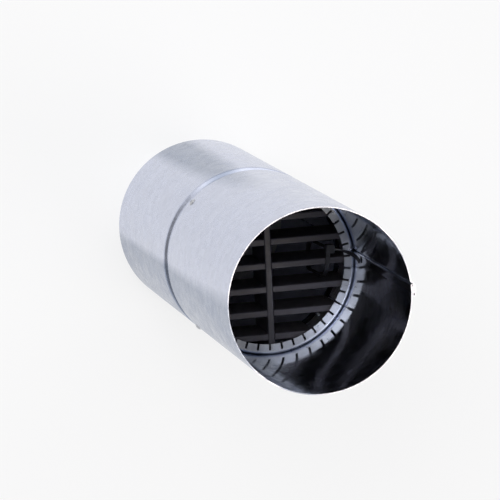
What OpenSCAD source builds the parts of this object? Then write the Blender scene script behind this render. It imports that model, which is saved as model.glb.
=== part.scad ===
// Round intumescent fire damper: a lock-seamed galvanised duct sleeve with a rolled swage,
// and inside it an egg-crate core of plastic-cased intumescent slats behind a notched ring.
// The sleeve stands on its lower rim at z = 0; its axis is Z and the slats run along X.

/* [Sleeve] */
// Outside diameter of the sleeve
outer_d = 150; // [140:1:200]
// Thickness of the galvanised sheet
sheet_t = 0.8; // [0.6:0.05:1]
// Length of the sleeve, rim to rim
sleeve_l = 406; // [320:1:600]

/* [Swage] */
// Height of the middle of the swage above the lower rim
swage_z = 187.5; // [120:0.5:200]
// Width of the swage between its shoulders
swage_w = 18; // [16:0.5:24]
// Depth that the swage is pressed in
swage_depth = 3.5; // [3:0.1:4.5]
// Slope of the flanks of the swage, in degrees
swage_slope = 45; // [35:1:50]
// Radius of the shoulders, at the middle of the sheet
shoulder_r = 2.5; // [1.5:0.1:3]
// Radius of the two corners at the bottom, at the middle of the sheet
root_r = 4; // [3.6:0.1:5]

/* [Lock seam] */
// Direction of the folded edge of the seam, in degrees from X
seam_a = 5.3; // [-20:0.1:20]
// Width of the lock seam round the sleeve
seam_w = 10; // [8:0.5:14]
// Gap left between two layers of the folded sheet
seam_gap = 0.15; // [0.1:0.01:0.25]
// Empty end of the outer fold, past the edge of the sheet that it holds
seam_void = 1; // [0.6:0.1:2]
// Slope of the step that lifts the sheet over the seam, in degrees
step_slope = 50; // [40:1:60]
// Radius of the foot of that step, at the middle of the sheet
step_r = 1.5; // [1:0.1:2]

/* [Retaining ring] */
// Thickness of the ring strip
ring_t = 0.8; // [0.6:0.05:1]
// Height of the ring, from its lower edge to the face of its flange
ring_h = 45.3; // [45:0.1:60]
// Reach of the notched flange, in from the outside of the ring
ring_flange = 8.8; // [6:0.1:12]
// Outer radius of the bend between the web and the flange
ring_bend = 2.4; // [1.8:0.1:3]
// Number of notches in the flange
notch_n = 42; // [24:1:60]
// Width of a notch
notch_w = 1.9; // [1.2:0.1:3]
// Metal left outside the roots of the notches
notch_root = 3.5; // [3.2:0.1:5]
// Angle of the notch at which the two ends of the strip meet
joint_a = -31.5; // [-36:0.1:-20]
// Gap between the two ends of the strip
joint_gap = 0.9; // [0.5:0.1:1.1]
// Clearance between the ring and the sleeve
ring_fit = 0.1; // [0.05:0.05:0.3]

/* [Core] */
// Number of slats
slat_n = 7; // [7:2:7]
// Distance from one slat to the next
slat_pitch = 20; // [16:0.5:20]
// Thickness of the casing of a slat
slat_t = 5.5; // [4.5:0.1:7]
// Thickness of the casing of the divider
divider_t = 5.5; // [4.5:0.1:7]
// Depth of the core along the sleeve
core_d = 44; // [30:0.5:44]
// Place of the divider to the right of the axis
divider_x = 1; // [-5:0.5:5]
// Wall of the plastic casings
casing_t = 0.8; // [0.6:0.1:1]
// Radius of the long edges of the casings
casing_r = 1; // [0.7:0.1:1.4]
// Clearance between the ends of the slats and the ring
core_fit = 0.3; // [0.2:0.05:0.5]
// Clearance between the core, the ring and the swage that they stand on
seat_fit = 0.3; // [0.2:0.05:0.5]
// Clearance on each side of a halved joint
halving_fit = 0.2; // [0.1:0.05:0.4]

/* [Intumescent strips] */
// Clearance between a strip and its casing
strip_fit = 0.2; // [0.1:0.05:0.3]
// Depth that a strip lies back from the ends of its casing
strip_inset = 1; // [0.5:0.5:3]

/* [Rivets] */
// Number of rivets that hold the ring
rivet_n = 4; // [4:1:4]
// Direction of the first rivet, in degrees from X
rivet_a = 45; // [42:1:48]
// Height of the rivets above the lower edge of the ring
rivet_up = 6; // [5:0.5:20]
// Diameter of the rivet body
rivet_d = 3.2; // [2.4:0.1:4]
// Diameter of the rivet head
head_d = 6.4; // [5.6:0.1:8]
// Height of the rivet head
head_h = 1.4; // [1:0.1:2]
// Diameter of the bulb that the rivet forms inside
bulb_d = 4.6; // [4.3:0.1:6]
// Length of that bulb
bulb_l = 3.4; // [3.2:0.1:5]
// Diameter of the broken mandrel in the middle of the head
mandrel_d = 1.8; // [1.2:0.1:2]
// Clearance round the rivet body in its holes
rivet_fit = 0.05; // [0.03:0.01:0.1]

/* [Cable tie] */
// Width of the strap
strap_w = 3.6; // [2.5:0.1:4.8]
// Thickness of the strap
strap_t = 1.2; // [1:0.1:1.4]
// Distance of the tie from the axis, to the right
tie_x = 51.5; // [46:0.5:52]
// Reach of the loop above the middle of the slat
tie_rise = 11.4; // [10:0.1:12]
// Reach of the loop below the middle of the slat
tie_drop = 14.6; // [14:0.1:15.5]
// Slack of the loop past the lower edge of the slat
tie_slack = 6; // [4:0.5:10]
// Radius of the bend below the slat, on the side of the head
tie_bend = 14; // [8:0.5:14]
// Radius of the loop's two other bends
tie_back_bend = 10; // [6:0.5:11]
// Lean of the loop seen from the upper end, in degrees
tie_lean = 6; // [0:1:10]
// Turn of the loop away from the axis of the sleeve, in degrees
tie_turn = 4; // [0:1:6]
// Clearance between the strap and the slat
tie_fit = 0.4; // [0.3:0.05:0.8]
// Width of the head
tie_head_w = 7.4; // [6.4:0.1:8]
// Length of the head along the strap
tie_head_l = 7; // [6:0.1:8]
// Height of the head
tie_head_h = 5; // [4.4:0.1:6]
// Radius of the upright edges of the head
tie_head_r = 1.5; // [0.8:0.1:2]
// Height of the end of the tail above the ring flange
tail_up = 18; // [14:1:40]
// Direction of the end of the tail, in degrees from X
tail_a = 0.5; // [-5:0.5:3]

/* [Hidden] */
$fn = 96;
// How far a cutting tool reaches past what it cuts
past = 1;
// How far two lengths of one sheet reach into each other where they join
bite = 0.2;
// Thinning of each face of the sheet in the folds of the seam
fold_thin = 0.02;

// Sleeve wall
wall_ro = outer_d / 2;
wall_ri = wall_ro - sheet_t;
wall_mid = wall_ro - sheet_t / 2;
swage_top = swage_z + swage_w / 2;
swage_low = swage_z - swage_w / 2;
// How far the rollers press the seam past the shoulders of the swage
press_past = 1;

// Ring, standing on the shoulder of the swage
ring_ro = wall_ri - ring_fit;
ring_ri = ring_ro - ring_t;
ring_z0 = swage_top + seat_fit;
ring_z1 = ring_z0 + ring_h;
notch_root_r = ring_ro - notch_root;

// Core, standing with its lower corners on the inside of the swage
core_r = ring_ri - core_fit;
seat_in = wall_ri - core_r;
inner_r = shoulder_r - sheet_t / 2;
arc_in = inner_r * (1 - cos(swage_slope));
seat_run = seat_in < arc_in
  ? sqrt(2 * inner_r * seat_in - seat_in * seat_in)
  : inner_r * sin(swage_slope) + (seat_in - arc_in) / tan(swage_slope);
core_z0 = swage_top - seat_run + seat_fit;
core_z1 = core_z0 + core_d;
core_mid = (core_z0 + core_z1) / 2;

// Rivets
rivet_z = ring_z0 + rivet_up;
hole_d = rivet_d + 2 * rivet_fit;

// Lock seam: four layers, counted from 0 at the wall to 3 outside
layer = sheet_t + seam_gap;
fold_out = layer + sheet_t / 2;
inner_fold = [fold_out, layer + sheet_t / 2];
outer_fold = [seam_w - fold_out, 2 * layer + sheet_t / 2];
step_top = inner_fold + 2 * layer * [-sin(step_slope), cos(step_slope)];
step_rise = step_top[1] - sheet_t / 2 - step_r * (1 - cos(step_slope));
step_foot = [step_top[0] - step_rise / tan(step_slope) - step_r * sin(step_slope),
             sheet_t / 2 + step_r];

// Points on an arc about c, from angle a0 to a1 in n steps
function arc(c, r, a0, a1, n) =
  [for (i = [0:n]) let (a = a0 + (a1 - a0) * i / n) c + r * [cos(a), sin(a)]];
function reversed(v) = [for (i = [len(v) - 1:-1:0]) v[i]];

// Middle line of a sheet as rows of along, up and heading: a turn, and a straight run
function turn(c, r, a0, a1, n) =
  [for (i = [0:n]) let (a = a0 + (a1 - a0) * i / n)
    [c[0] + r * cos(a), c[1] + r * sin(a), a + (a1 > a0 ? 90 : -90)]];
function run(p, q, n) =
  [for (i = [1:n - 1]) let (f = i / n)
    [p[0] + (q[0] - p[0]) * f, p[1] + (q[1] - p[1]) * f, atan2(q[1] - p[1], q[0] - p[0])]];
function stop(p, heading) = [[p[0], p[1], heading]];

// Outline of a sheet of thickness t that follows a middle line
function side(line, d) = [for (k = line) [k[0] - d * sin(k[2]), k[1] + d * cos(k[2])]];
function stroke(line, t) = concat(side(line, t / 2), reversed(side(line, -t / 2)));

// Angle round the sleeve of a length s from the folded edge, and a point of the seam there
function seam_angle(s) = seam_a - s / wall_mid * 180 / PI;
function bent(p) = (wall_ri + p[1]) * [cos(seam_angle(p[0])), sin(seam_angle(p[0]))];

// The inner hem: the wall folds back over itself and ends inside the outer fold
function hem_line() =
  let (far = outer_fold[0] - seam_void)
  concat(stop([fold_out + bite, sheet_t / 2], 180),
         turn(inner_fold, layer, -90, -270, 8),
         run([fold_out, outer_fold[1]], [far, outer_fold[1]], 6),
         stop([far, outer_fold[1]], 0));

// The outer lap: it steps up over the hem, folds down beyond it and ends inside the hem
function lap_line() =
  let (up = outer_fold[1] + layer, end = fold_out + seam_gap)
  concat(stop([step_foot[0] - bite, sheet_t / 2], 0),
         turn(step_foot, step_r, -90, step_slope - 90, 4),
         turn(inner_fold, 2 * layer, 90 + step_slope, 90, 5),
         run([fold_out, up], [outer_fold[0], up], 6),
         turn(outer_fold, layer, 90, -90, 8),
         run([outer_fold[0], inner_fold[1]], [end, inner_fold[1]], 6),
         stop([end, inner_fold[1]], 180));

// Upper half of the swage, offset outwards by off, from its shoulder to its bottom
function swage_half(off) =
  let (s = swage_slope, both = shoulder_r + root_r,
       fall = (swage_depth - both * (1 - cos(s))) / sin(s),
       half_run = both * sin(s) + fall * cos(s))
  concat(arc([wall_mid - shoulder_r, swage_top], shoulder_r + off, 0, -s, 4),
         arc([wall_mid - swage_depth + root_r, swage_top - half_run], root_r - off, 180 - s, 180, 4));
function swage_line(off) =
  let (h = swage_half(off))
  concat(h, [for (p = reversed(h)) [p[0], 2 * swage_z - p[1]]]);

// Cross-section of the swaged wall between two offsets from its middle line
module swaged_wall(off0, off1, z0, z1) {
  polygon(concat([[wall_mid + off1, z1]], swage_line(off1), [[wall_mid + off1, z0]],
                 [[wall_mid + off0, z0]], reversed(swage_line(off0)), [[wall_mid + off0, z1]]));
}

module radial_hole(d, a, z) {
  rotate([0, 0, a]) translate([0, 0, z]) rotate([0, 90, 0]) cylinder(d = d, h = wall_ro + past);
}

// The part of the wall that the seam takes up, between the foot of the lap and the hem
function seam_window() =
  let (a = step_foot[0] - bite / 2, b = fold_out + bite / 2)
  [bent([a, sheet_t + past]), bent([a, -past]), bent([b, -past]), bent([b, sheet_t + past])];

module sleeve() {
  pressed = [swage_low - press_past, swage_top + press_past];
  end_a = seam_angle(seam_w + seam_gap);
  color("gainsboro") difference() {
    union() {
      difference() {
        rotate_extrude() swaged_wall(-sheet_t / 2, sheet_t / 2, 0, sleeve_l);
        translate([0, 0, -past]) linear_extrude(pressed[0] + past) polygon(seam_window());
        translate([0, 0, pressed[1]]) linear_extrude(sleeve_l - pressed[1] + past) polygon(seam_window());
      }
      for (span = [[0, pressed[0]], [pressed[1], sleeve_l]])
        translate([0, 0, span[0]]) linear_extrude(span[1] - span[0]) {
          polygon([for (p = stroke(hem_line(), sheet_t - 2 * fold_thin)) bent(p)]);
          polygon([for (p = stroke(lap_line(), sheet_t - 2 * fold_thin)) bent(p)]);
        }
      // The rollers that press the swage squeeze the seam's four layers into one
      rotate([0, 0, end_a]) rotate_extrude(angle = seam_angle(-sheet_t) - end_a)
        swaged_wall(0, 3.5 * sheet_t, pressed[0] - bite, pressed[1] + bite);
    }
    for (i = [0:rivet_n - 1]) radial_hole(hole_d, rivet_a + i * 360 / rivet_n, rivet_z);
  }
}

module ring_section() {
  translate([ring_ri, ring_z0]) square([ring_t, ring_h - ring_bend]);
  translate([ring_ro - ring_flange, ring_z1 - ring_t]) square([ring_flange - ring_bend, ring_t]);
  translate([ring_ro - ring_bend, ring_z1 - ring_bend]) intersection() {
    difference() {
      circle(ring_bend);
      circle(ring_bend - ring_t);
    }
    square(ring_bend);
  }
}

module retaining_ring() {
  gap_angle = joint_gap / ring_ro * 180 / PI;
  notch_in = ring_ro - ring_flange - past;
  color("silver") difference() {
    rotate([0, 0, joint_a + gap_angle / 2])
      rotate_extrude(angle = 360 - gap_angle) ring_section();
    for (i = [0:notch_n - 1])
      rotate([0, 0, joint_a + i * 360 / notch_n])
        translate([notch_in, -notch_w / 2, ring_z1 - ring_t - past])
          cube([notch_root_r - notch_in, notch_w, ring_t + 2 * past]);
    for (i = [0:rivet_n - 1]) radial_hole(hole_d, rivet_a + i * 360 / rivet_n, rivet_z);
  }
}

// Distance from the divider's side of the core to where a piece at offset v meets the ring
function chord(v, t) = sqrt(core_r * core_r - pow(abs(v) + t / 2, 2));
function slat_y(i) = (i - (slat_n - 1) / 2) * slat_pitch;

// Section of a casing: thickness across, depth upwards, with rounded long edges
module casing_section(t) {
  difference() {
    union() {
      square([t - 2 * casing_r, core_d], center = true);
      square([t, core_d - 2 * casing_r], center = true);
      for (x = [-1, 1], y = [-1, 1])
        translate([x * (t / 2 - casing_r), y * (core_d / 2 - casing_r)]) circle(casing_r, $fn = 32);
    }
    square([t - 2 * casing_t, core_d - 2 * casing_t], center = true);
  }
}

module strip_section(t) {
  wall = casing_t + strip_fit;
  square([t - 2 * wall, core_d - 2 * wall], center = true);
}

// A length of a section along X, halved from above where it meets the divider
module slat_length(i, short) {
  y = slat_y(i);
  gap = divider_t + 2 * halving_fit;
  difference() {
    translate([0, y, core_mid]) rotate([90, 0, 90])
      linear_extrude(2 * (chord(y, slat_t) - short), center = true) children();
    translate([divider_x - gap / 2, y - slat_t / 2 - past, core_mid - halving_fit])
      cube([gap, slat_t + 2 * past, core_d]);
  }
}

module slat_casing(i) {
  color("dimgray") slat_length(i, 0) casing_section(slat_t);
}

module slat_strip(i) {
  color("darkslategray") slat_length(i, strip_inset) strip_section(slat_t);
}

// A length of a section along Y, halved from below at every slat
module divider_length(short) {
  gap = slat_t + 2 * halving_fit;
  difference() {
    translate([divider_x, 0, core_mid]) rotate([90, 0, 0])
      linear_extrude(2 * (chord(divider_x, divider_t) - short), center = true) children();
    for (i = [0:slat_n - 1])
      translate([divider_x - divider_t / 2 - past, slat_y(i) - gap / 2, core_mid + halving_fit - core_d])
        cube([divider_t + 2 * past, gap, core_d]);
  }
}

module divider_casing() {
  color("dimgray") divider_length(0) casing_section(divider_t);
}

module divider_strip() {
  color("darkslategray") divider_length(strip_inset) strip_section(divider_t);
}

// A blind rivet along Z, with the wall's outer face at wall_ro
module blind_rivet() {
  cap_r = (head_d * head_d / 4 + head_h * head_h) / (2 * head_h);
  foot = wall_ro + rivet_fit;
  bulb_top = sqrt(ring_ri * ring_ri - bulb_d * bulb_d / 4) - rivet_fit;
  difference() {
    intersection() {
      translate([0, 0, foot + head_h - cap_r]) sphere(cap_r);
      translate([0, 0, foot]) cylinder(d = head_d, h = head_h);
    }
    translate([0, 0, foot + head_h / 2]) cylinder(d = mandrel_d, h = head_h, $fn = 24);
  }
  translate([0, 0, bulb_top - bulb_d / 4]) cylinder(d = rivet_d, h = foot + head_h / 4 - bulb_top + bulb_d / 4);
  translate([0, 0, bulb_top - bulb_l + bulb_d / 2]) cylinder(d = bulb_d, h = bulb_l - bulb_d / 2);
  translate([0, 0, bulb_top - bulb_l + bulb_d / 2]) intersection() {
    sphere(d = bulb_d);
    translate([0, 0, -bulb_d]) cylinder(d = 2 * bulb_d, h = bulb_d);
  }
}

module ring_rivets() {
  color("lightgray") for (i = [0:rivet_n - 1])
    rotate([0, 0, rivet_a + i * 360 / rivet_n]) translate([0, 0, rivet_z])
      rotate([0, 90, 0]) blind_rivet($fn = 48);
}

// Cable tie: a loose loop round the middle slat, its head, and the free tail
tie_top = core_z1 + tie_fit + strap_t;
tie_low = core_z0 - tie_slack;
function loop_line(in) =
  let (h = tie_head_r + strap_t, b = tie_bend, c = tie_back_bend)
  concat(arc([tie_rise - h, tie_top - h], h - in, 90, 0, 4),
         arc([tie_rise - c, tie_low + c], c - in, 0, -90, 8),
         arc([c - tie_drop, tie_low + c], c - in, -90, -180, 8),
         arc([b - tie_drop, tie_top - b], b - in, 180, 90, 10));

// Points of a smooth curve from four handles
function curve(c, f) =
  c[0] * pow(1 - f, 3) + c[1] * 3 * f * pow(1 - f, 2) + c[2] * 3 * f * f * (1 - f) + c[3] * pow(f, 3);
function unit(v) = v / norm(v);

// Corners of the strap at part f of the tail: on edge at the head, flat on the wall at the tip
function strap_ring(c, out, f) =
  let (d = unit(curve(c, f + 0.01) - curve(c, f - 0.01)),
       laid = unit(cross(unit(c[3] - c[2]), out)), g = min(1, f / 0.8), k = g * g * (3 - 2 * g),
       m = [0, 0, 1] * (1 - k) + laid * k, w = unit(m - d * (m * d)), n = cross(d, w))
  [for (q = [[-1, -1], [1, -1], [1, 1], [-1, 1]])
    curve(c, f) + w * q[0] * strap_w / 2 + n * q[1] * strap_t / 2];

// A point of the tie, given across the loop, up and out of it, where the tie lies in the core
function tied(p) =
  let (s = sin(tie_turn), c = cos(tie_turn), x = p[0] * c + (p[2] - tie_top) * s,
       z = (p[2] - tie_top) * c - p[0] * s)
  [tie_x + x * cos(tie_lean) + p[1] * sin(tie_lean), p[1] * cos(tie_lean) - x * sin(tie_lean), tie_top + z];

module tie_tail() {
  steps = 14;
  out = [cos(tail_a), sin(tail_a), 0];
  start = tied([tie_head_w / 2 - past, tie_rise - strap_t / 2, tie_top + tie_head_h / 2]);
  tip = out * (wall_ri - tie_fit - strap_t / 2) + [0, 0, ring_z1 + tail_up];
  handles = [start, start + [8, -1.6, 1.2], tip + [-6 * out[1], 6 * out[0], -8], tip];
  rings = [for (i = [0:steps]) strap_ring(handles, out, i / steps)];
  faces = [for (i = [0:steps - 1], j = [0:3]) let (a = 4 * i + j, b = 4 * i + (j + 1) % 4)
    each [[a, a + 4, b], [b, a + 4, b + 4]]];
  last = 4 * steps;
  polyhedron([for (r = rings, p = r) p],
             concat([[0, 1, 2], [0, 2, 3]], faces, [[last, last + 2, last + 1], [last, last + 3, last + 2]]));
}

module tie_head() {
  w = tie_head_w - 2 * tie_head_r;
  l = tie_head_l - 2 * tie_head_r;
  translate([0, tie_rise - strap_t / 2, -strap_t]) linear_extrude(tie_head_h + strap_t) {
    square([w, tie_head_l], center = true);
    square([tie_head_w, l], center = true);
    for (x = [-w / 2, w / 2], y = [-l / 2, l / 2]) translate([x, y]) circle(tie_head_r, $fn = 24);
  }
}

module cable_tie() {
  color([0.12, 0.12, 0.13]) {
    translate([tie_x, 0, tie_top]) rotate([0, 0, -tie_lean]) rotate([0, tie_turn, 0]) {
      translate([-strap_w / 2, 0, -tie_top]) rotate([90, 0, 90]) linear_extrude(strap_w) difference() {
        polygon(loop_line(0));
        polygon(loop_line(strap_t));
      }
      tie_head();
    }
    tie_tail();
  }
}

sleeve();
retaining_ring();
slat_casing(0);  // slat_casing_1
slat_casing(1);  // slat_casing_2
slat_casing(2);  // slat_casing_3
slat_casing(3);  // slat_casing_4
slat_casing(4);  // slat_casing_5
slat_casing(5);  // slat_casing_6
slat_casing(6);  // slat_casing_7
divider_casing();
slat_strip(0);  // slat_strip_1
slat_strip(1);  // slat_strip_2
slat_strip(2);  // slat_strip_3
slat_strip(3);  // slat_strip_4
slat_strip(4);  // slat_strip_5
slat_strip(5);  // slat_strip_6
slat_strip(6);  // slat_strip_7
divider_strip();
ring_rivets();
cable_tie();
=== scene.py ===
"""Looks for a round intumescent fire damper: a galvanised sleeve on its end, with a slatted core inside.

Every length is in metres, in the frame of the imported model: the sleeve's axis is Z and the slats lie along X.
"""

import math

import bmesh
import bpy
from mathutils import Matrix, Vector

bl_info = {
    "name": "Round intumescent fire damper",
    "version": (1, 0, 0),
    "blender": (4, 5, 0),
    "location": "3D View > Sidebar > Damper",
    "description": "Finishes, small parts and a plain studio for a duct fire damper",
    "category": "Object",
}

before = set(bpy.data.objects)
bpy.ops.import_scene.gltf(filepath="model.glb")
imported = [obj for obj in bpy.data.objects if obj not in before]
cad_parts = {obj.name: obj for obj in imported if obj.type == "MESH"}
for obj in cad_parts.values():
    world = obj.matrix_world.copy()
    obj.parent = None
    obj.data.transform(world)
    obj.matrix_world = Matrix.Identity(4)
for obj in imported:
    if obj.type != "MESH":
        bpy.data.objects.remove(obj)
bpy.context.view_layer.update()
MM = 0.001
BODY = "root"
CASINGS = [f"slat_casing_{i}" for i in range(1, 8)]
STRIPS = [f"slat_strip_{i}" for i in range(1, 8)]


# Small helpers for colours, materials and nodes

def linear(hex_colour, alpha=1.0):
    """An sRGB hex colour, such as #c0c4cc, as linear red, green, blue and alpha."""
    values = [int(hex_colour[i:i + 2], 16) / 255 for i in (1, 3, 5)]
    return tuple(v / 12.92 if v <= 0.04045 else ((v + 0.055) / 1.055) ** 2.4 for v in values) + (alpha,)


def add(tree, kind, inputs=None, **settings):
    """Adds a node, applies its settings, and sets or links its inputs by name or number."""
    made = tree.nodes.new(kind)
    for key, value in settings.items():
        setattr(made, key, value)
    for key, value in (inputs or {}).items():
        if isinstance(value, bpy.types.NodeSocket):
            tree.links.new(value, made.inputs[key])
        else:
            made.inputs[key].default_value = value
    return made


def ramp(tree, factor, stops):
    """A colour ramp from (position, colour or grey level) stops."""
    made = add(tree, "ShaderNodeValToRGB", {"Fac": factor})
    band = made.color_ramp
    while len(band.elements) < len(stops):
        band.elements.new(0.5)
    for element, (place, colour) in zip(band.elements, stops):
        element.position = place
        element.color = colour if isinstance(colour, tuple) else (colour, colour, colour, 1)
    return made.outputs["Color"]


def spread(tree, value, low, high, start=0.0, end=1.0):
    """Maps a value from start..end to low..high."""
    return add(tree, "ShaderNodeMapRange", {"Value": value, "From Min": start, "From Max": end,
                                            "To Min": low, "To Max": high}).outputs["Result"]


def math_node(tree, operation, first, second=0.0):
    return add(tree, "ShaderNodeMath", {0: first, 1: second}, operation=operation).outputs[0]


def blend_colour(tree, factor, first, second, mode="MIX"):
    return add(tree, "ShaderNodeMix", {"Factor": factor, 6: first, 7: second},
               data_type="RGBA", blend_type=mode).outputs[2]


def pattern_space(tree, size=(1.0, 1.0, 1.0)):
    """Object coordinates divided by the size in metres of one repeat along X, Y and Z."""
    place = add(tree, "ShaderNodeTexCoord").outputs["Object"]
    return add(tree, "ShaderNodeMapping", {"Vector": place, "Scale": tuple(1 / s for s in size)}).outputs["Vector"]


def new_material(name, **sockets):
    """A material with one Principled shader, whose named sockets hold plain values."""
    material = bpy.data.materials.new(name)
    material.use_nodes = True
    tree = material.node_tree
    shader = tree.nodes["Principled BSDF"]
    for key, value in sockets.items():
        shader.inputs[key.replace("_", " ")].default_value = value
    return material, tree, shader


def bump(tree, height, distance, strength=1.0, normal=None):
    inputs = {"Height": height, "Distance": distance, "Strength": strength}
    if normal is not None:
        inputs["Normal"] = normal
    return add(tree, "ShaderNodeBump", inputs).outputs["Normal"]


def dress(material, *names):
    """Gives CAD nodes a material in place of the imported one."""
    for name in names:
        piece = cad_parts[name]
        for holder in piece.material_slots:
            holder.material = material
        if not piece.material_slots:
            piece.data.materials.append(material)


# Finishes

def galvanised_sheet(name, colour, outside, inside, spangle, wave):
    """Hot-dip galvanised steel, skin-passed: zinc crystals a few millimetres wide, soft longitudinal
    waves from the rolls, and a face that is brighter inside the tube, where nobody has handled it.
    Its colour switches in lengthwise bands between a dark and a light tone: painted reflections of a room's bright and
    dim sides."""
    material, tree, shader = new_material(name, Metallic=1.0)
    coords = add(tree, "ShaderNodeTexCoord")
    across = add(tree, "ShaderNodeVectorMath", {0: coords.outputs["Object"], 1: (1, 1, 0)}, operation="MULTIPLY")
    facing = add(tree, "ShaderNodeVectorMath", {0: across.outputs[0], 1: coords.outputs["Normal"]},
                 operation="DOT_PRODUCT").outputs["Value"]
    inner = math_node(tree, "LESS_THAN", facing, 0.0)

    warp = add(tree, "ShaderNodeTexNoise", {"Vector": pattern_space(tree, (0.004,) * 3), "Scale": 1.0, "Detail": 3.0})
    bent = add(tree, "ShaderNodeVectorMath", {0: pattern_space(tree, (spangle,) * 3), 1: warp.outputs["Color"]},
               operation="ADD").outputs[0]
    crystal = add(tree, "ShaderNodeTexVoronoi", {"Vector": bent, "Scale": 1.0}, feature="F1")
    tint = add(tree, "ShaderNodeSeparateColor", {"Color": crystal.outputs["Color"]})
    cloud = add(tree, "ShaderNodeTexNoise", {"Vector": pattern_space(tree, (0.035, 0.035, 0.07)), "Scale": 1.0,
                                             "Detail": 5.0, "Roughness": 0.6}).outputs["Fac"]
    streak = add(tree, "ShaderNodeTexNoise", {"Vector": pattern_space(tree, (0.0012, 0.0012, 0.09)), "Scale": 1.0,
                                              "Detail": 4.0, "Roughness": 0.65}).outputs["Fac"]
    # Painted reflection: this noise, stretched along the axis, switches the colour sharply between the dark and the
    # light tone. The lengthwise bands stand in for the room's bright and dim sides mirrored in the sheet.
    band = add(tree, "ShaderNodeTexNoise", {"Vector": pattern_space(tree, (0.075, 0.075, 1.6)), "Scale": 1.0,
                                            "Detail": 1.0}).outputs["Fac"]
    dark, light = linear(colour[0]), linear(colour[1])
    body = blend_colour(tree, ramp(tree, band, ((0.44, 0.0), (0.5, 1.0))), dark, light)
    shade = spread(tree, tint.outputs["Red"], 0.96, 1.04)
    shade = math_node(tree, "MULTIPLY", shade, spread(tree, streak, 0.98, 1.02, 0.3, 0.7))
    shade = math_node(tree, "MULTIPLY", shade, spread(tree, cloud, 0.96, 1.03, 0.3, 0.7))
    grey = add(tree, "ShaderNodeCombineColor", {"Red": shade, "Green": shade, "Blue": shade}).outputs[0]
    tree.links.new(blend_colour(tree, 1.0, body, grey, "MULTIPLY"), shader.inputs["Base Color"])

    rough = spread(tree, inner, outside, inside)
    rough = math_node(tree, "ADD", rough, spread(tree, tint.outputs["Green"], -0.04, 0.05))
    rough = math_node(tree, "ADD", rough, spread(tree, cloud, -0.04, 0.06, 0.3, 0.7))
    tree.links.new(rough, shader.inputs["Roughness"])

    rolled = add(tree, "ShaderNodeTexNoise", {"Vector": pattern_space(tree, (0.03, 0.03, 0.35)), "Scale": 1.0,
                                              "Detail": 2.0}).outputs["Fac"]
    normal = bump(tree, rolled, wave)
    normal = bump(tree, streak, 0.000006, 1.0, normal)
    normal = bump(tree, crystal.outputs["Distance"], 0.00003, 0.5, normal)
    tree.links.new(normal, shader.inputs["Normal"])
    return material


def zinc_plated(name, colour):
    """Zinc-plated steel, pressed: a soft sheen with a fine haze."""
    material, tree, shader = new_material(name, Metallic=1.0)
    haze = add(tree, "ShaderNodeTexNoise", {"Vector": pattern_space(tree, (0.0012,) * 3), "Scale": 1.0,
                                            "Detail": 3.0}).outputs["Fac"]
    tree.links.new(blend_colour(tree, haze, linear(colour[0]), linear(colour[1])), shader.inputs["Base Color"])
    tree.links.new(spread(tree, haze, 0.25, 0.42, 0.3, 0.7), shader.inputs["Roughness"])
    tree.links.new(bump(tree, haze, 0.00003, 0.5), shader.inputs["Normal"])
    return material


def extruded_plastic(name, colour, grain, roughness):
    """Rigid PVC, extruded: satin, with faint die lines along its length and a little dust."""
    material, tree, shader = new_material(name, IOR=1.53)
    lines = add(tree, "ShaderNodeTexNoise", {"Vector": pattern_space(tree, grain), "Scale": 1.0, "Detail": 3.0,
                                             "Roughness": 0.7}).outputs["Fac"]
    dust = add(tree, "ShaderNodeTexNoise", {"Vector": pattern_space(tree, (0.009,) * 3), "Scale": 1.0, "Detail": 6.0,
                                            "Roughness": 0.65}).outputs["Fac"]
    body = blend_colour(tree, spread(tree, lines, 0.0, 1.0, 0.35, 0.65), linear(colour[0]), linear(colour[1]))
    body = blend_colour(tree, spread(tree, dust, 0.0, 0.35, 0.5, 0.8), body, linear(colour[2]))
    tree.links.new(body, shader.inputs["Base Color"])
    tree.links.new(spread(tree, dust, roughness - 0.06, roughness + 0.12, 0.3, 0.7), shader.inputs["Roughness"])
    tree.links.new(bump(tree, lines, 0.00004, 0.6), shader.inputs["Normal"])
    return material


def graphite_compound(name, colour):
    """Graphite-filled intumescent compound, rolled: matt and grainy, with flakes that catch the light."""
    material, tree, shader = new_material(name, IOR=1.5)
    flake = add(tree, "ShaderNodeTexVoronoi", {"Vector": pattern_space(tree, (0.0007,) * 3), "Scale": 1.0})
    tint = add(tree, "ShaderNodeSeparateColor", {"Color": flake.outputs["Color"]}).outputs["Red"]
    tree.links.new(blend_colour(tree, spread(tree, tint, 0.0, 1.0, 0.8, 1.0), linear(colour[0]), linear(colour[1])),
                   shader.inputs["Base Color"])
    tree.links.new(spread(tree, tint, 0.9, 0.45, 0.75, 1.0), shader.inputs["Roughness"])
    tree.links.new(bump(tree, flake.outputs["Distance"], 0.0001), shader.inputs["Normal"])
    return material


def moulded_nylon(name, colour):
    """Black nylon, injection moulded: semi-matt, with the faint grain of the tool."""
    material, tree, shader = new_material(name, IOR=1.53)
    grain = add(tree, "ShaderNodeTexNoise", {"Vector": pattern_space(tree, (0.0006,) * 3), "Scale": 1.0,
                                             "Detail": 4.0}).outputs["Fac"]
    tree.links.new(blend_colour(tree, grain, linear(colour[0]), linear(colour[1])), shader.inputs["Base Color"])
    tree.links.new(spread(tree, grain, 0.36, 0.52, 0.3, 0.7), shader.inputs["Roughness"])
    tree.links.new(bump(tree, grain, 0.00002, 0.5), shader.inputs["Normal"])
    return material


# Sizes and settings that a user would change

class DamperSleeveLooks(bpy.types.PropertyGroup):
    spangle: bpy.props.FloatProperty(
        name="Spangle", description="Width of a zinc crystal", default=0.006, min=0.001, max=0.03,
        subtype="DISTANCE", unit="LENGTH")
    wave: bpy.props.FloatProperty(
        name="Wave", description="Depth of the soft waves that rolling leaves in the sheet", default=0.0003,
        min=0.0, max=0.003, subtype="DISTANCE", unit="LENGTH")
    outside: bpy.props.FloatProperty(
        name="Outside roughness", description="Roughness of the outer face", default=0.24, min=0.0, max=1.0)
    inside: bpy.props.FloatProperty(
        name="Inside roughness", description="Roughness of the inner face", default=0.1, min=0.0, max=1.0)


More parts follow.
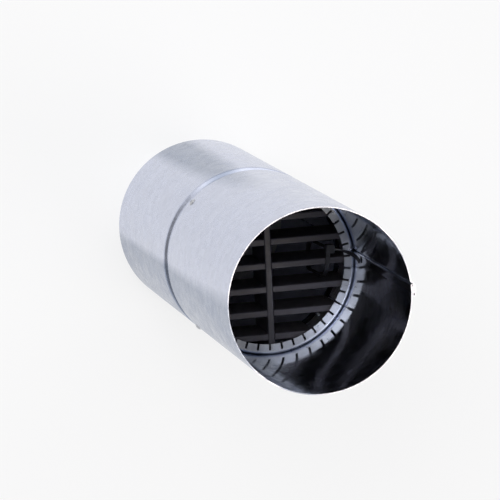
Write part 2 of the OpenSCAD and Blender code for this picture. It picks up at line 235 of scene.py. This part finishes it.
class DamperStageLooks(bpy.types.PropertyGroup):
    dim: bpy.props.FloatProperty(
        name="Dim side", description="Strength of the room's light on its dim side", default=0.25, min=0.0, max=5.0)
    bright: bpy.props.FloatProperty(
        name="Bright side", description="Strength of the room's light on its bright side", default=1.5, min=0.0,
        max=5.0)
    lens: bpy.props.FloatProperty(
        name="Focal length", description="Focal length of the camera in millimetres", default=249.93, min=20.0,
        max=600.0)


# Operators

class DAMPER_OT_sleeve(bpy.types.Operator):
    """Finish the galvanised sleeve, its retaining ring and the rivets"""
    bl_idname = "damper.sleeve"
    bl_label = "Sleeve, ring and rivets"

    def execute(self, context):
        looks = context.scene.damper_sleeve
        # Each colour pair below holds the dark and the light tone of the painted reflection bands.
        dress(galvanised_sheet("hot_dip_galvanised_steel_sheet", ("#949db0", "#c5cadb"), looks.outside, looks.inside,
                               looks.spangle, looks.wave), "sleeve")
        dress(galvanised_sheet("galvanised_steel_strip", ("#b6b9bf", "#cdd0d4"), 0.32, 0.3, 0.004, 0.0002),
              "retaining_ring")
        dress(zinc_plated("zinc_plated_pressed_steel", ("#a8aab0", "#d2d3d6")), "ring_rivets")
        return {"FINISHED"}


class DAMPER_OT_core(bpy.types.Operator):
    """Finish the casings and the intumescent strips of the core"""
    bl_idname = "damper.core"
    bl_label = "Slatted core"

    def execute(self, context):
        colours = ("#39363b", "#434046", "#6a676b")
        dress(extruded_plastic("extruded_pvc_along_x", colours, (0.12, 0.0009, 0.0009), 0.42), *CASINGS)
        dress(extruded_plastic("extruded_pvc_along_y", colours, (0.0009, 0.12, 0.0009), 0.42), "divider_casing")
        dress(graphite_compound("rolled_graphite_compound", ("#1d1c1d", "#4a494b")), *STRIPS, "divider_strip")
        return {"FINISHED"}


class DAMPER_OT_tie(bpy.types.Operator):
    """Finish the cable tie"""
    bl_idname = "damper.tie"
    bl_label = "Cable tie"

    def execute(self, context):
        dress(moulded_nylon("moulded_black_nylon", ("#222124", "#2e2d30")), "cable_tie")
        return {"FINISHED"}


def backdrop_material(name, colour, glow_share, hidden_radius):
    """Matt white paper that shows nearly plain white, and keeps a soft shadow. Under the sleeve, within
    the hidden radius, it has only the light that falls on it."""
    material = bpy.data.materials.new(name)
    material.use_nodes = True
    tree = material.node_tree
    tree.nodes.clear()
    path = add(tree, "ShaderNodeLightPath")
    seen = math_node(tree, "MAXIMUM", path.outputs["Is Camera Ray"],
                     math_node(tree, "MAXIMUM", path.outputs["Is Glossy Ray"], path.outputs["Is Transmission Ray"]))
    place = add(tree, "ShaderNodeTexCoord").outputs["Object"]
    away = add(tree, "ShaderNodeVectorMath", {0: place}, operation="LENGTH").outputs["Value"]
    open_floor = math_node(tree, "GREATER_THAN", away, hidden_radius)
    share = math_node(tree, "MULTIPLY", math_node(tree, "MULTIPLY", seen, open_floor), glow_share)
    paper = add(tree, "ShaderNodeBsdfDiffuse", {"Color": linear(colour)}).outputs[0]
    glow = add(tree, "ShaderNodeEmission", {"Color": (1, 1, 1, 1), "Strength": 1.0}).outputs[0]
    both = add(tree, "ShaderNodeMixShader", {"Fac": share, 1: paper, 2: glow}).outputs[0]
    add(tree, "ShaderNodeOutputMaterial", {"Surface": both})
    return material


def room_light(tree, bright_side, dim, bright, backdrop_top):
    """A room that is bright on one side and dim on the other, over a pale backdrop round the horizon."""
    way = add(tree, "ShaderNodeTexCoord").outputs["Generated"]
    towards = add(tree, "ShaderNodeVectorMath", {0: way, 1: Vector(bright_side).normalized()},
                  operation="DOT_PRODUCT").outputs["Value"]
    level = add(tree, "ShaderNodeMapRange", {"Value": towards, "From Min": 0.45, "From Max": 0.9, "To Min": dim,
                                             "To Max": bright}, interpolation_type="SMOOTHSTEP").outputs["Result"]
    height = add(tree, "ShaderNodeSeparateXYZ", {"Vector": way}).outputs["Z"]
    wall = add(tree, "ShaderNodeMapRange", {"Value": height, "From Min": backdrop_top, "From Max": backdrop_top + 0.06,
                                            "To Min": 1.0, "To Max": 0.0}).outputs["Result"]
    return math_node(tree, "MAXIMUM", level, math_node(tree, "MULTIPLY", wall, 0.8))


def lamp(name, place, aim, size, power, colour="#ffffff"):
    light = bpy.data.lights.new(name, "AREA")
    light.shape = "RECTANGLE"
    light.size, light.size_y = size
    light.energy = power
    light.color = linear(colour)[:3]
    holder = bpy.data.objects.new(name, light)
    bpy.context.scene.collection.objects.link(holder)
    holder.location = place
    holder.rotation_euler = (Vector(aim) - Vector(place)).to_track_quat("-Z", "Y").to_euler()
    return holder


class DAMPER_OT_stage(bpy.types.Operator):
    """Set out the floor, the lamps and the camera"""
    bl_idname = "damper.stage"
    bl_label = "Studio"

    def execute(self, context):
        looks = context.scene.damper_stage
        mesh = bpy.data.meshes.new("studio_floor")
        built = bmesh.new()
        bmesh.ops.create_circle(built, cap_ends=True, radius=12.0, segments=96)
        built.to_mesh(mesh)
        built.free()
        floor = bpy.data.objects.new("studio_floor", mesh)
        context.scene.collection.objects.link(floor)
        mesh.materials.append(backdrop_material("matt_white_paper", "#e8e8ea", 0.75, 0.0748))

        world = bpy.data.worlds.new("studio")
        context.scene.world = world
        world.use_nodes = True
        tree = world.node_tree
        tree.nodes.clear()
        level = room_light(tree, (0.21, 0.98, 0.3), looks.dim, looks.bright, 0.05)
        sky = add(tree, "ShaderNodeBackground", {"Color": (1, 1, 1, 1), "Strength": level}).outputs[0]
        add(tree, "ShaderNodeOutputWorld", {"Surface": sky})

        lamp("key_softbox", (-0.9, 0.9, 1.9), (0, 0, 0.25), (1.2, 1.2), 22)
        lamp("fill_softbox", (1.4, -0.8, 1.5), (0, 0, 0.2), (1.4, 1.4), 12)
        lamp("overhead_softbox", (0.56, -0.42, 2.6), (0, 0, 0.4), (0.7, 0.7), 4.5, "#fff1df")

        right, up, back = (Vector(v).normalized() for v in (
            (0.9687, -0.0459, 0.2437), (0.0866, 0.9834, -0.1593), (-0.2324, 0.1755, 0.9567)))
        place = Vector((0, 0, 0.406)) + 2.718 * back - 0.0552 * right + 0.04005 * up
        camera = bpy.data.objects.new("studio_camera", bpy.data.cameras.new("studio_camera"))
        context.scene.collection.objects.link(camera)
        camera.data.sensor_fit = "HORIZONTAL"
        camera.data.sensor_width = 36.0
        camera.data.lens = looks.lens
        camera.data.clip_start = 0.05
        camera.data.clip_end = 60.0
        turn = Matrix((right, up, back)).transposed().to_4x4()
        camera.matrix_world = Matrix.Translation(place) @ turn
        context.scene.camera = camera
        context.scene.view_settings.view_transform = "Standard"
        return {"FINISHED"}


class DAMPER_PT_looks(bpy.types.Panel):
    bl_idname = "DAMPER_PT_looks"
    bl_label = "Fire damper"
    bl_space_type = "VIEW_3D"
    bl_region_type = "UI"
    bl_category = "Damper"

    def draw(self, context):
        for group in (context.scene.damper_sleeve, context.scene.damper_stage):
            for key in group.__annotations__:
                self.layout.prop(group, key)
        for operator in OPERATORS:
            self.layout.operator(operator.bl_idname)


GROUPS = (DamperSleeveLooks, DamperStageLooks)
OPERATORS = (DAMPER_OT_sleeve, DAMPER_OT_core, DAMPER_OT_tie, DAMPER_OT_stage)


def register():
    for made in (*GROUPS, *OPERATORS, DAMPER_PT_looks):
        bpy.utils.register_class(made)
    bpy.types.Scene.damper_sleeve = bpy.props.PointerProperty(type=DamperSleeveLooks)
    bpy.types.Scene.damper_stage = bpy.props.PointerProperty(type=DamperStageLooks)


def unregister():
    del bpy.types.Scene.damper_stage
    del bpy.types.Scene.damper_sleeve
    for made in reversed((*GROUPS, *OPERATORS, DAMPER_PT_looks)):
        bpy.utils.unregister_class(made)


def main():
    register()
    for step in (bpy.ops.damper.stage, bpy.ops.damper.sleeve, bpy.ops.damper.core, bpy.ops.damper.tie):
        step()


if __name__ == "__main__":
    main()
